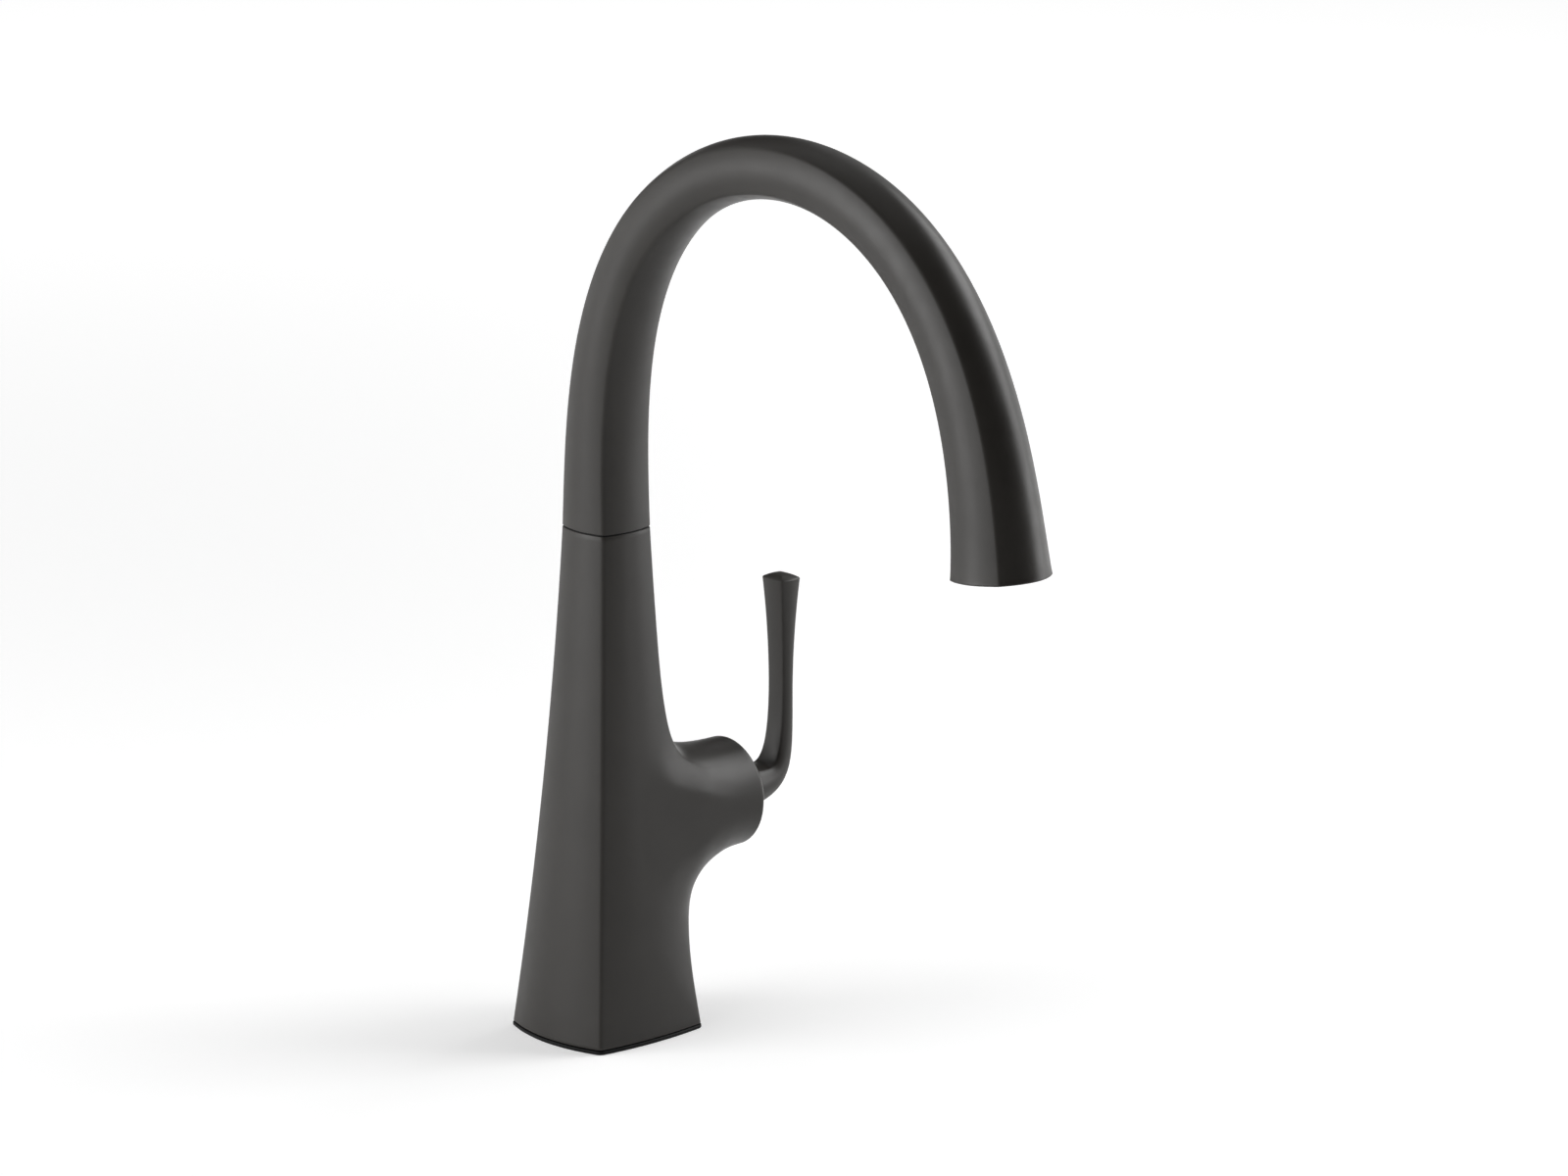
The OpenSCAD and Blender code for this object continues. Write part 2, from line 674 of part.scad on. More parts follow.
module spout_post() {
  color(brass) difference() {
    union() {
      translate([0, 0, boss_z + 8]) cylinder(r = 6.5, h = 100);
      translate([0, 0, 186]) cylinder(r = post_r, h = hub_top_z - 187);
      translate([0, 0, seam_z - 1.95]) cylinder(r = 10.4, h = 2.3);
    }
    translate([0, 0, boss_z]) cylinder(r = 4.6, h = 150);
    for (z = ring_heights) translate([0, 0, z - 0.9]) difference() {
      cylinder(r = 12, h = 1.8);
      cylinder(r = 6.9, h = 1.8);
    }
    translate([0, 0, screw_z - 1.8]) difference() {
      cylinder(r = 12, h = 3.6);
      cylinder(r = 7.4, h = 3.6);
    }
  }
}

module spout_o_rings() {
  color(soft_black) for (z = ring_heights)
    translate([0, 0, z]) rotate_extrude() translate([7.74, 0]) circle(r = 0.82, $fn = 32);
}

// ---- aerator

module aerator_housing() {
  color(black) at_outlet() difference() {
    union() {
      translate([0, 0, 0.6]) cylinder(r = 12, h = 9.4);
      translate([0, 0, 0.2]) cylinder(r = 11.2, h = 1);
    }
    translate([0, 0, -1]) cylinder(r = 9.6, h = 8);
    translate([0, 0, 5]) cylinder(r = 10.4, h = 6);
    for (a = [0 : 90 : 270]) rotate(a) translate([9, -1.2, -1]) cube([4, 2.4, 2.4]);
  }
}

cell = 1.9;                                   // pitch of the honeycomb

module aerator_insert() {
  color([0.3, 0.3, 0.32]) at_outlet() difference() {
    union() {
      translate([0, 0, 1.6]) cylinder(r = 9.55, h = 3.4);
      translate([0, 0, 5]) cylinder(r = 10.35, h = 3);
    }
    for (i = [-4 : 4]) for (j = [-4 : 4]) {
      x = cell * (i + j / 2);
      y = cell * j * sin(60);
      if (norm([x, y]) < 8.2) translate([x, y, 0]) cylinder(r = 0.86, h = 10, $fn = 6);
    }
  }
}

module aerator_seal() {
  color(soft_black) at_outlet() translate([0, 0, 10]) difference() {
    cylinder(r = 12, h = 2);
    translate([0, 0, -1]) cylinder(r = 8.6, h = 4);
  }
}

// ---- below the deck

module mounting_shank() {
  color(brass) difference() {
    translate([0, 0, -deck_t - 37]) cylinder(r = shank_r, h = deck_t + 37 + 11.9);
    translate([0, 0, -100]) cylinder(r = 13.2, h = 200);
  }
}

module washer(outer, from, to) {
  translate([0, 0, from]) difference() {
    cylinder(r = outer, h = to - from);
    translate([0, 0, -1]) cylinder(r = shank_r + 0.3, h = to - from + 2);
  }
}

module rubber_washer() {
  color(soft_black) washer(25, -deck_t - 3, -deck_t);
}

module steel_washer() {
  color(steel) washer(26, -deck_t - 4.5, -deck_t - 3);
}

nut_top = -deck_t - 8.5;
screw_circle = 21.5;

module mounting_nut() {
  color(brass) difference() {
    union() {
      translate([0, 0, nut_top - 8]) cylinder(r = 26, h = 8);
      translate([0, 0, nut_top - 16]) cylinder(r = 22, h = 9, $fn = 6);
    }
    translate([0, 0, nut_top - 20]) cylinder(r = shank_r + fit, h = 30);
    for (a = [30, 150, 270])
      rotate(a) translate([screw_circle + 1, 0, nut_top - 20]) cylinder(r = 2.5, h = 30);
  }
}

module clamp_screws() {
  color(steel) for (a = [30, 150, 270]) rotate(a) translate([screw_circle + 1, 0, 0]) {
    translate([0, 0, nut_top - 16]) cylinder(r = 2.48, h = 20);
    translate([0, 0, nut_top - 20]) difference() {
      cylinder(r = 2.48 + 1.2, h = 4, $fn = 6);
      translate([0, 0, -1]) cylinder(r = 1.4, h = 3, $fn = 6);
    }
  }
}

column_shell();
base_ring();
base_gasket();
glide_ring();
valve_body();
hot_inlet_tail();
cold_inlet_tail();
cartridge_base();
cartridge_seals();
fixed_disc();
cartridge_housing();
bonnet_nut();
mounting_shank();
rubber_washer();
steel_washer();
mounting_nut();
clamp_screws();
spout_post();
spout_o_rings();
spout_tube();
spout_hub();
spout_screw();
aerator_seal();
aerator_housing();
aerator_insert();
cartridge_rotor();
pivot_pin();
disc_carrier();
moving_disc();
cartridge_stem();
handle_dome();
lever();
handle_screw();
handle_screw_plug();
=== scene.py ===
import math
import bpy
import numpy as np
from mathutils import Matrix, Vector


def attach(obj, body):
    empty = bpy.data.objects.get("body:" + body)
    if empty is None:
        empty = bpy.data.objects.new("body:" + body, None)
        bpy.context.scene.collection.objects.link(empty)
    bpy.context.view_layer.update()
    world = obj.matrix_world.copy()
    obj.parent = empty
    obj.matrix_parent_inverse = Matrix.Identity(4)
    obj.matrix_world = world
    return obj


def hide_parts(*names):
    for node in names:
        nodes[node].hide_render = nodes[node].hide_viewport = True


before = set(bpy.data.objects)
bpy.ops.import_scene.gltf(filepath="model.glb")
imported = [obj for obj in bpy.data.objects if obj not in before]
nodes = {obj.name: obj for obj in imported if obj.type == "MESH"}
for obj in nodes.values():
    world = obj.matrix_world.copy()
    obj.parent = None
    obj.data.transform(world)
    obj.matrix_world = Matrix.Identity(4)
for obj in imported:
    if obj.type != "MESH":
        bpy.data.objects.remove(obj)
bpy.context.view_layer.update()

mm = 0.001
print("frame loaded:", len(nodes), "solids")

# sizes shared by several pieces, in mm
body = {
    "footHalf": 26.0, "ringTop": 2.0, "seamHalf": 12.05, "seamZ": 201.0, "spoutZ": 201.6,
    "lean": 0.0386, "sideBow": 0.21, "rounding": 1.2,
    "bossX": 62.6, "bossZ": 83.5, "bossRadius": 21.6, "pivotX": 57.0,
    "reach": 217.0, "outletZ": 224.0,
}
body["height"] = body["seamZ"] - body["ringTop"]
body["curve"] = (body["footHalf"] - body["seamHalf"] - body["lean"] * body["height"]) / body["height"] ** 2
# the corner lines meet the boss's rim this far out and this far up or down from its axis
body["bossCorner"] = body["bossRadius"] * math.cos(math.radians(45))


# helpers for objects

def deselectAll():
    if bpy.context.object and bpy.context.object.mode != "OBJECT":
        bpy.ops.object.mode_set(mode="OBJECT")
    bpy.ops.object.select_all(action="DESELECT")


def makeActive(piece):
    deselectAll()
    piece.select_set(True)
    bpy.context.view_layer.objects.active = piece


def settle(piece):
    # place, turn and size go into the mesh, so the object sits at the origin
    makeActive(piece)
    bpy.ops.object.transform_apply(location=True, rotation=True, scale=True)
    return piece


def pointNormalsOut(piece):
    makeActive(piece)
    bpy.ops.object.mode_set(mode="EDIT")
    bpy.ops.mesh.select_all(action="SELECT")
    bpy.ops.mesh.remove_doubles(threshold=1e-7)
    bpy.ops.mesh.normals_make_consistent(inside=False)
    bpy.ops.object.mode_set(mode="OBJECT")
    return piece


def fillOpenEnds():
    # in edit mode, closes every open end with one face
    bpy.ops.mesh.select_all(action="DESELECT")
    bpy.ops.mesh.select_non_manifold()
    bpy.ops.mesh.fill_holes(sides=0)
    bpy.ops.mesh.select_all(action="SELECT")
    bpy.ops.mesh.normals_make_consistent(inside=False)


def smooth(piece, angle):
    # edges sharper than the angle, in degrees, stay sharp
    makeActive(piece)
    bpy.ops.object.shade_smooth_by_angle(angle=math.radians(angle))
    return piece


def cutWith(piece, cutters):
    # all cutters leave their shape in one exact boolean, and are then removed
    group = bpy.data.collections.new("cutters")
    bpy.context.scene.collection.children.link(group)
    for cutter in cutters:
        group.objects.link(cutter)
    makeActive(piece)
    cut = piece.modifiers.new("cut", "BOOLEAN")
    cut.operation = "DIFFERENCE"
    cut.operand_type = "COLLECTION"
    cut.collection = group
    cut.solver = "EXACT"
    bpy.ops.object.modifier_apply(modifier=cut.name)
    for cutter in cutters:
        bpy.data.objects.remove(cutter)
    bpy.data.collections.remove(group)
    return piece


def rod(name, radius, start, end, sides=96):
    # a round bar from one point to another, in mm
    a = Vector(start) * mm
    b = Vector(end) * mm
    deselectAll()
    bpy.ops.mesh.primitive_cylinder_add(vertices=sides, radius=radius * mm, depth=(b - a).length,
                                        location=(a + b) / 2)
    bar = bpy.context.object
    bar.name = name
    bar.rotation_euler = (b - a).to_track_quat("Z", "Y").to_euler()
    return settle(bar)


def meshFromGrids(name, grids):
    # each grid is rows x columns x 3, in mm; shared edges are merged afterwards
    points = []
    faces = []
    for grid in grids:
        start = len(points)
        rowCount, columnCount = grid.shape[:2]
        points.extend((grid.reshape(-1, 3) * mm).tolist())
        for i in range(rowCount - 1):
            for j in range(columnCount - 1):
                a = start + i * columnCount + j
                faces.append((a, a + 1, a + columnCount + 1, a + columnCount))
    mesh = bpy.data.meshes.new(name)
    mesh.from_pydata(points, [], faces)
    piece = bpy.data.objects.new(name, mesh)
    bpy.context.scene.collection.objects.link(piece)
    return pointNormalsOut(piece)


def loft(name, rings, closed=False):
    # skins a row of sections that all have the same number of points; the two ends are capped,
    # unless the last section leads back to the first
    sections = np.asarray(rings, float)
    if closed:
        sections = np.concatenate([sections, sections[:1]])
    wrapped = np.concatenate([sections, sections[:, :1]], axis=1)
    piece = meshFromGrids(name, [wrapped])
    if not closed:
        makeActive(piece)
        bpy.ops.object.mode_set(mode="EDIT")
        bpy.ops.mesh.select_mode(type="EDGE")
        fillOpenEnds()
        bpy.ops.object.mode_set(mode="OBJECT")
    return piece


# helpers for curves and sections

def ease(t):
    # 0 to 1 with soft ends
    c = np.clip(t, 0, 1)
    return c * c * (3 - 2 * c)


def mix(a, b, t):
    return a + (b - a) * t


def bezier(points, t):
    points = np.asarray(points, float)
    n = len(points) - 1
    t = np.atleast_1d(t)
    weights = np.stack([math.comb(n, i) * (1 - t) ** (n - i) * t ** i for i in range(n + 1)], -1)
    return weights @ points


def bezierWay(points, t):
    # which way the curve runs at t, as a vector of length 1
    slope = bezier(np.diff(np.asarray(points, float), axis=0), t)[0]
    return slope / np.linalg.norm(slope)


def bezierValue(values, t):
    # one number that changes smoothly along a piece
    return bezier([[v] for v in values], t)[0, 0]


def bulge(chordHalf, rise, u):
    # height of an arc over its chord, u from -1 to 1
    radius = (chordHalf ** 2 + rise ** 2) / (2 * rise)
    return np.sqrt(radius ** 2 - (u * chordHalf) ** 2) - (radius - rise)


def roundedCorner(first, sharp, last, t):
    # from one face to the next, pulled towards the sharp corner between them
    return (1 - t) ** 2 * first + 2 * t * (1 - t) * sharp + t * t * last


def softSection(a, b, bowA, bowB, rounding, sideSteps, cornerSteps):
    # a square with bowed sides and rounded corners: half sizes a along x and b along y
    def side(k, u):
        qa = a * (1 + bowA * (1 - u * u))
        qb = b * (1 + bowB * (1 - u * u))
        if k == 0:
            return np.stack([-qa, u * b], -1)
        if k == 1:
            return np.stack([u * a, qb], -1)
        if k == 2:
            return np.stack([qa, -u * b], -1)
        return np.stack([-u * a, -qb], -1)
    points = []
    for k in range(4):
        half = b if k % 2 == 0 else a
        nextHalf = a if k % 2 == 0 else b
        edge = 1 - rounding / half
        points.extend(side(k, np.linspace(-edge, edge, sideSteps + 1)))
        first = side(k, np.array([edge]))[0]
        corner = side(k, np.array([1.0]))[0]
        last = side((k + 1) % 4, np.array([-(1 - rounding / nextHalf)]))[0]
        for t in np.linspace(0, 1, cornerSteps + 2)[1:-1]:
            points.append(roundedCorner(first, corner, last, t))
    return np.array(points)


# column with its valve boss

column = {
    # how softly column and boss flow together: near the column and near the boss, from which x the one
    # softness becomes the other, how far out the boss's share grows, and how soft the crease is
    "blend": (1.4, 1.9), "blendFrom": 15, "blendOver": 20, "bossGrows": 17, "crease": 0.1,
    # foot and neck stay square: at which height that starts, and over how much it grows
    "footSquare": (47, 53), "neckSquare": (90, 49),
    # from this x on the face takes on the round of the boss
    "roundFrom": 46,
    # bow of the front face at the seam and at the foot
    "frontBow": (0.165, 0.08),
    # right outline below the boss: its lower pull goes inwards to a height, its upper pull along the boss;
    # above the boss: its upper pull goes outwards and down, its lower pull along the boss
    "lowPull": (6.1, 60.5, 20), "highPull": (2.6, 49, 39), "highFrom": 155.0,
    # heights on the left side that belong to the lowest and the highest point of the boss
    "leftLow": 62.0, "leftHigh": 104.0,
    # the right side swells up to the boss's round from this x on
    "swellFrom": 14, "swellOver": 24,
    # the rounding of the corner lines fades out where the boss becomes round
    "fadeBefore": 8, "fadeOver": 22,
    # steps of the mesh
    "across": 64, "around": 30, "corner": 5, "lowRows": 60, "rimRows": 40, "highRows": 56, "neckRows": 22,
    # bevels by width and steps, and how near an edge has to be to count as one of the rim, foot or top
    "rimBevel": (0.4, 4), "footBevel": (0.25, 2), "topBevel": (0.2, 2),
    "nearRim": (0.01, 0.05), "nearEnd": 0.001, "footInner": 20,
    "merge": 2e-6, "smoothAngle": 24,
    # heights of the cavity's sections, and its wall
    "cavity": [12, 50, 100, 150, 184], "wall": 2.6,
    "bores": [
        ("cupBore", 17.75, (12, 0, body["bossZ"]), (46.9, 0, body["bossZ"])),
        ("domeBore", 20.4, (46.4, 0, body["bossZ"]), (body["bossX"] + 1, 0, body["bossZ"]), 160),
        ("shankHole", 16.05, (0, 0, 1), (0, 0, 13)),
        ("postBore", 8.7, (0, 0, 183), (0, 0, 203)),
        ("collarBore", 10.6, (0, 0, 199), (0, 0, 202)),
    ],
}


def halfWidth(z):
    # half of the column's width, which tapers on a curve
    d = body["seamZ"] - z
    return body["seamHalf"] + body["lean"] * d + body["curve"] * d * d


def frontBow(z):
    atSeam, atFoot = column["frontBow"]
    return mix(atSeam, atFoot, np.clip((body["seamZ"] - z) / body["height"], 0, 1))


def insideness(x, z):
    # about 1 along the middle of column and boss, less towards their corner lines, and flowing together
    c = column
    columnPart = 1 - (x / halfWidth(z)) ** 2
    bossPart = 1 - ((z - body["bossZ"]) / body["bossCorner"]) ** 2
    w = mix(c["blend"][0], c["blend"][1], ease((x - c["blendFrom"]) / c["blendOver"]))
    d = w * np.log(np.exp(columnPart / w) + ease(x / c["bossGrows"]) * np.exp(bossPart / w))
    return 1 - (np.sqrt((1 - d) ** 2 + c["crease"] ** 2) + 1 - d) / 2


def frontDepth(x, z):
    # how far the front face stands before the middle plane
    footZ, footOver = column["footSquare"]
    neckZ, neckOver = column["neckSquare"]
    rim = body["bossX"]
    d = insideness(x, z)
    start = halfWidth(z) * np.maximum(ease((footZ - z) / footOver), ease((z - neckZ) / neckOver))
    toBoss = ease((x - start) / (rim - start))
    square = halfWidth(z) * (1 + frontBow(z) * d)
    boss = body["bossCorner"] * np.sqrt(np.maximum(0, 1 + d))
    field = mix(square, boss, toBoss)
    turned = np.sqrt(np.maximum(0, body["bossRadius"] ** 2 - (z - body["bossZ"]) ** 2))
    return mix(field, turned, ease((x - column["roundFrom"]) / (rim - column["roundFrom"])))


def columnRows():
    # the right outline from foot to seam: x, z, the way outwards in x and z, and the height on the left
    c = column
    rim = body["bossX"]
    lowZ = body["bossZ"] - body["bossCorner"]
    highZ = body["bossZ"] + body["bossCorner"]
    inwards, height, along = c["lowPull"]
    lowLine = [[body["footHalf"], body["ringTop"]], [body["footHalf"] - inwards, height],
               [rim - along, lowZ], [rim, lowZ]]
    outwards, down, along = c["highPull"]
    neck = halfWidth(c["highFrom"])
    highLine = [[neck, c["highFrom"]], [neck + outwards, c["highFrom"] - down],
                [rim - along, highZ], [rim, highZ]]
    rows = []
    for t in np.linspace(0, 1, c["lowRows"] + 1):
        p = bezier(lowLine, t)[0]
        d = bezierWay(lowLine, t)
        rows.append([p[0], p[1], d[1], -d[0], mix(body["ringTop"], c["leftLow"], t)])
    for t in np.linspace(0, 1, c["rimRows"] + 1)[1:-1]:
        turn = math.radians(mix(-45, 45, t))
        rows.append([rim, body["bossZ"] + body["bossRadius"] * math.sin(turn), 1, 0,
                     mix(c["leftLow"], c["leftHigh"], t)])
    for t in np.linspace(1, 0, c["highRows"] + 1):
        p = bezier(highLine, t)[0]
        d = -bezierWay(highLine, t)
        rows.append([p[0], p[1], d[1], -d[0], mix(c["highFrom"], c["leftHigh"], t)])
    for t in np.linspace(0, 1, c["neckRows"] + 1)[1:]:
        z = mix(c["highFrom"], body["seamZ"], t)
        rows.append([halfWidth(z), z, 1, 0, z])
    return np.array(rows)


def columnSkin():
    # faces and rounded corners as grids of points, each row running round the column
    c = column
    rounding = body["rounding"]
    rows = columnRows()
    rightX = rows[:, 0:1]
    rightZ = rows[:, 1:2]
    leftZ = rows[:, 4:5]
    leftHalf = halfWidth(leftZ)
    rimLow = c["lowRows"]
    rimHigh = rimLow + c["rimRows"]
    onRim = np.zeros((len(rows), 1), bool)
    onRim[rimLow:rimHigh + 1] = True
    fade = ease((body["bossX"] - c["fadeBefore"] - rightX) / c["fadeOver"])
    rightRounding = np.where(onRim, 0, rounding * fade)

    def front(s):
        x = mix(-leftHalf, rightX, s)
        z = mix(leftZ, rightZ, s)
        return np.stack([x, -frontDepth(x, z), z], -1)

    def leftSide(u):
        chord = frontDepth(-leftHalf, leftZ)
        x = -leftHalf - bulge(chord, body["sideBow"] * leftHalf, u)
        return np.stack([x, -u * chord, np.broadcast_to(leftZ, x.shape)], -1)

    def rightSide(u):
        chord = frontDepth(rightX, rightZ)
        swell = ease((rightX - c["swellFrom"]) / c["swellOver"])
        rise = mix(body["sideBow"] * halfWidth(rightZ), body["bossRadius"] - body["bossCorner"], swell)
        high = bulge(chord, rise, u)
        return np.stack([rightX + high * rows[:, 2:3], u * chord, rightZ + high * rows[:, 3:4]], -1)

    def cornerBetween(first, sharp, last):
        return roundedCorner(first, sharp, last, np.linspace(0, 1, c["corner"] + 2)[None, :, None])

    def mirrored(grid):
        return grid[:, ::-1] * np.array([1, -1, 1])

    span = rightX + leftHalf
    across = np.linspace(0, 1, c["across"] + 1)[None, :]
    frontGrid = front(mix(rounding / span, 1 - rightRounding / span, across))
    around = np.linspace(-1, 1, c["around"] + 1)[None, :]
    leftEdge = 1 - rounding / frontDepth(-leftHalf, leftZ)
    # back to front along the left side
    leftGrid = leftSide(-leftEdge * around)[:, ::-1]
    leftCorner = cornerBetween(leftGrid[:, -1:], front(np.zeros((len(rows), 1))), frontGrid[:, :1])
    grids = [frontGrid, mirrored(frontGrid), leftGrid, leftCorner, mirrored(leftCorner)]
    rightEdge = 1 - rightRounding / frontDepth(rightX, rightZ)
    rightGrid = rightSide(rightEdge * around)
    rightCorner = cornerBetween(frontGrid[:, -1:], front(np.ones((len(rows), 1))), rightGrid[:, :1])
    # the right side lies below and above the rim, whose open end is filled later
    for part in (slice(0, rimLow + 1), slice(rimHigh, len(rows))):
        grids.append(rightGrid[part])
        grids.append(rightCorner[part])
        grids.append(mirrored(rightCorner[part]))
    return grids


def onRimEdge(p):
    sideways, inwards = column["nearRim"]
    fromAxis = math.hypot(p.y, p.z - body["bossZ"])
    return abs(p.x - body["bossX"]) < sideways and fromAxis > body["bossRadius"] - inwards


def onFootEdge(p):
    return p.z < body["ringTop"] + column["nearEnd"] and max(abs(p.x), abs(p.y)) > column["footInner"]


def onTopEdge(p):
    return p.z > body["seamZ"] - column["nearEnd"]


def bevelEdges(piece, wanted, width, steps):
    # bevels the edges whose two ends both satisfy the test, which reads mm
    makeActive(piece)
    bpy.ops.object.mode_set(mode="EDIT")
    bpy.ops.mesh.select_mode(type="EDGE")
    bpy.ops.mesh.select_all(action="DESELECT")
    bpy.ops.object.mode_set(mode="OBJECT")
    count = 0
    for edge in piece.data.edges:
        ends = [piece.data.vertices[i].co / mm for i in edge.vertices]
        if all(wanted(p) for p in ends):
            edge.select = True
            count += 1
    bpy.ops.object.mode_set(mode="EDIT")
    bpy.ops.mesh.bevel(offset=width * mm, segments=steps, affect="EDGES", clamp_overlap=True)
    bpy.ops.object.mode_set(mode="OBJECT")
    return count


def buildColumn():
    c = column
    piece = meshFromGrids("columnCasting", columnSkin())
    makeActive(piece)
    bpy.ops.object.mode_set(mode="EDIT")
    bpy.ops.mesh.select_mode(type="EDGE")
    bpy.ops.mesh.select_all(action="SELECT")
    bpy.ops.mesh.remove_doubles(threshold=c["merge"])
    fillOpenEnds()
    rimEdges = bevelEdges(piece, onRimEdge, *c["rimBevel"])
    footEdges = bevelEdges(piece, onFootEdge, *c["footBevel"])
    topEdges = bevelEdges(piece, onTopEdge, *c["topBevel"])
    print("column edges rounded:", rimEdges, footEdges, topEdges)
    cavity = []
    for level in c["cavity"]:
        h = halfWidth(level) - c["wall"]
        cavity.append([[-h, -h, level], [h, -h, level], [h, h, level], [-h, h, level]])
    cutWith(piece, [loft("cavity", cavity)] + [rod(*bore) for bore in c["bores"]])
    return smooth(piece, c["smoothAngle"])


columnCasting = buildColumn()
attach(columnCasting, "root")
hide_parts("column_shell")
print("column:", len(columnCasting.data.polygons), "faces")


# base ring under the column

foot = {
    "lip": 0.25, "groove": 0.45, "grooveDepth": 1.1, "edge": 0.42, "edgePoints": 13, "opening": 21.0,
    "rounding": 1.7, "bow": 0.08, "gasket": 0.6, "gasketInset": 2.6,
    "sideSteps": 24, "cornerSteps": 7, "smoothAngle": 40,
}


def buildBaseRing():
    f = foot
    half = body["footHalf"] + f["lip"]
    edge = f["edge"]
    step = body["ringTop"] - f["groove"]
    # half outline of the ring: inset from its widest place, and height
    profile = [(f["gasketInset"], f["gasket"]), (f["gasketInset"], 0.0)]
    for turn in np.linspace(-90, 90, f["edgePoints"]):
        a = math.radians(turn)
        z = edge + edge * math.sin(a) if turn < 0 else step - edge + edge * math.sin(a)
        profile.append((edge * (1 - math.cos(a)), z))
    profile += [(f["grooveDepth"], step), (f["grooveDepth"], body["ringTop"])]
    rings = []
    for inset, z in profile:
        outline = softSection(half - inset, half - inset, body["sideBow"], f["bow"], f["rounding"],
                              f["sideSteps"], f["cornerSteps"])
        rings.append(np.column_stack([outline, np.full(len(outline), z)]))
    angles = np.arctan2(outline[:, 1], outline[:, 0])
    hole = np.stack([np.cos(angles), np.sin(angles)], -1) * f["opening"]
    for z in (body["ringTop"], f["gasket"]):
        rings.append(np.column_stack([hole, np.full(len(hole), z)]))
    return smooth(loft("baseRing", rings, closed=True), f["smoothAngle"])


baseRing = buildBaseRing()
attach(baseRing, "root")
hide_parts("base_ring")
print("base ring made")


# gooseneck spout

spout = {
    # points that pull the arch: distance before the column's axis, and height
    "line": [[0, body["spoutZ"]], [0, 248], [-2, 336.5], [25, 384], [body["reach"] - 51.6, 394.4],
             [body["reach"] - 14, body["outletZ"] + 128], [body["reach"] - 3.2, body["outletZ"] + 28],
             [body["reach"], body["outletZ"]]],
    # half sizes and bow of the section on its way from the foot to the outlet
    "across": [12.05, 11.3, 8.2, 8.7, 13.5], "along": [12.05, 8.9, 7.2, 8.8, 13.0],
    "bow": [0.165, 0.45, 0.44], "tipSideBow": 0.24, "tipRounding": 0.6,
    # lift and inset of the sections that round the edge of the foot
    "footEdge": [(0.0, 0.2), (0.06, 0.06), (0.2, 0.0)],
    # edge of the outlet, and the aerator's bore behind it
    "edge": 0.6, "edgeSteps": 6, "chamfer": 0.3, "aeratorBore": 12.02, "aeratorDepth": 12.0,
    # waterway and where it starts and ends along the arch, then the hub's bore
    "channel": 9.2, "channelEnds": (0.93, 0.135), "channelRings": 90, "hubBore": 10.5, "hubTop": 226.0,
    # hole of the retaining screw: radius, height, and its two ends in y
    "screwHole": (2.02, 213.0, 9, 19), "screwSides": 48,
    "rings": 190, "sideSteps": 18, "cornerSteps": 6, "smoothAngle": 24,
}


def placeOnSpout(section, t):
    # section is x across and y towards the outside of the arch
    p = bezier(spout["line"], t)[0]
    d = bezierWay(spout["line"], t)
    out = np.array([-d[1], d[0]])
    return np.column_stack([section[:, 0], -p[0] - out[0] * section[:, 1], p[1] + out[1] * section[:, 1]])


def spoutSection(t, inset=0.0):
    s = spout
    a = bezierValue(s["across"], t) - inset
    b = bezierValue(s["along"], t) - inset
    return softSection(a, b, mix(body["sideBow"], s["tipSideBow"], t), bezierValue(s["bow"], t),
                       mix(body["rounding"], s["tipRounding"], t), s["sideSteps"], s["cornerSteps"])


def buildSpout():
    s = spout
    rings = []
    for lift, inset in s["footEdge"]:
        flat = placeOnSpout(spoutSection(0.0, inset), 0.0)
        flat[:, 2] += lift
        rings.append(flat)
    for t in np.linspace(0, 1, s["rings"] + 1)[1:-1]:
        rings.append(placeOnSpout(spoutSection(t), t))
    # round the outlet's edge, then up inside
    tip = bezierWay(s["line"], 1.0)
    back = np.array([0, tip[0], -tip[1]])
    edge = s["edge"]
    for k in range(s["edgeSteps"] + 1):
        turn = math.radians(90 * k / s["edgeSteps"])
        flat = placeOnSpout(spoutSection(1.0, edge * (1 - math.cos(turn))), 1.0)
        rings.append(flat + back * edge * (1 - math.sin(turn)))
    outline = spoutSection(1.0)
    angles = np.arctan2(outline[:, 1], outline[:, 0])
    circle = np.stack([np.cos(angles), np.sin(angles)], -1)
    bore = s["aeratorBore"]
    for radius, depth in ((bore + s["chamfer"], 0.0), (bore, s["chamfer"]), (bore, s["aeratorDepth"]),
                          (s["channel"], s["aeratorDepth"])):
        rings.append(placeOnSpout(circle * radius, 1.0) + back * depth)
    for t in np.linspace(*s["channelEnds"], s["channelRings"]):
        rings.append(placeOnSpout(circle * s["channel"], t))
    for radius, z in ((s["channel"], s["hubTop"]), (s["hubBore"], s["hubTop"]),
                      (s["hubBore"], body["spoutZ"])):
        flat = placeOnSpout(circle * radius, 0.0)
        flat[:, 2] = z
        rings.append(flat)
    piece = loft("spoutTube", rings, closed=True)
    radius, z, start, end = s["screwHole"]
    cutWith(piece, [rod("screwHole", radius, (0, start, z), (0, end, z), s["screwSides"])])
    return smooth(piece, s["smoothAngle"])


spoutTube = buildSpout()
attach(spoutTube, "spout")
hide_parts("spout_tube")
print("spout:", len(spoutTube.data.polygons), "faces")


# lever

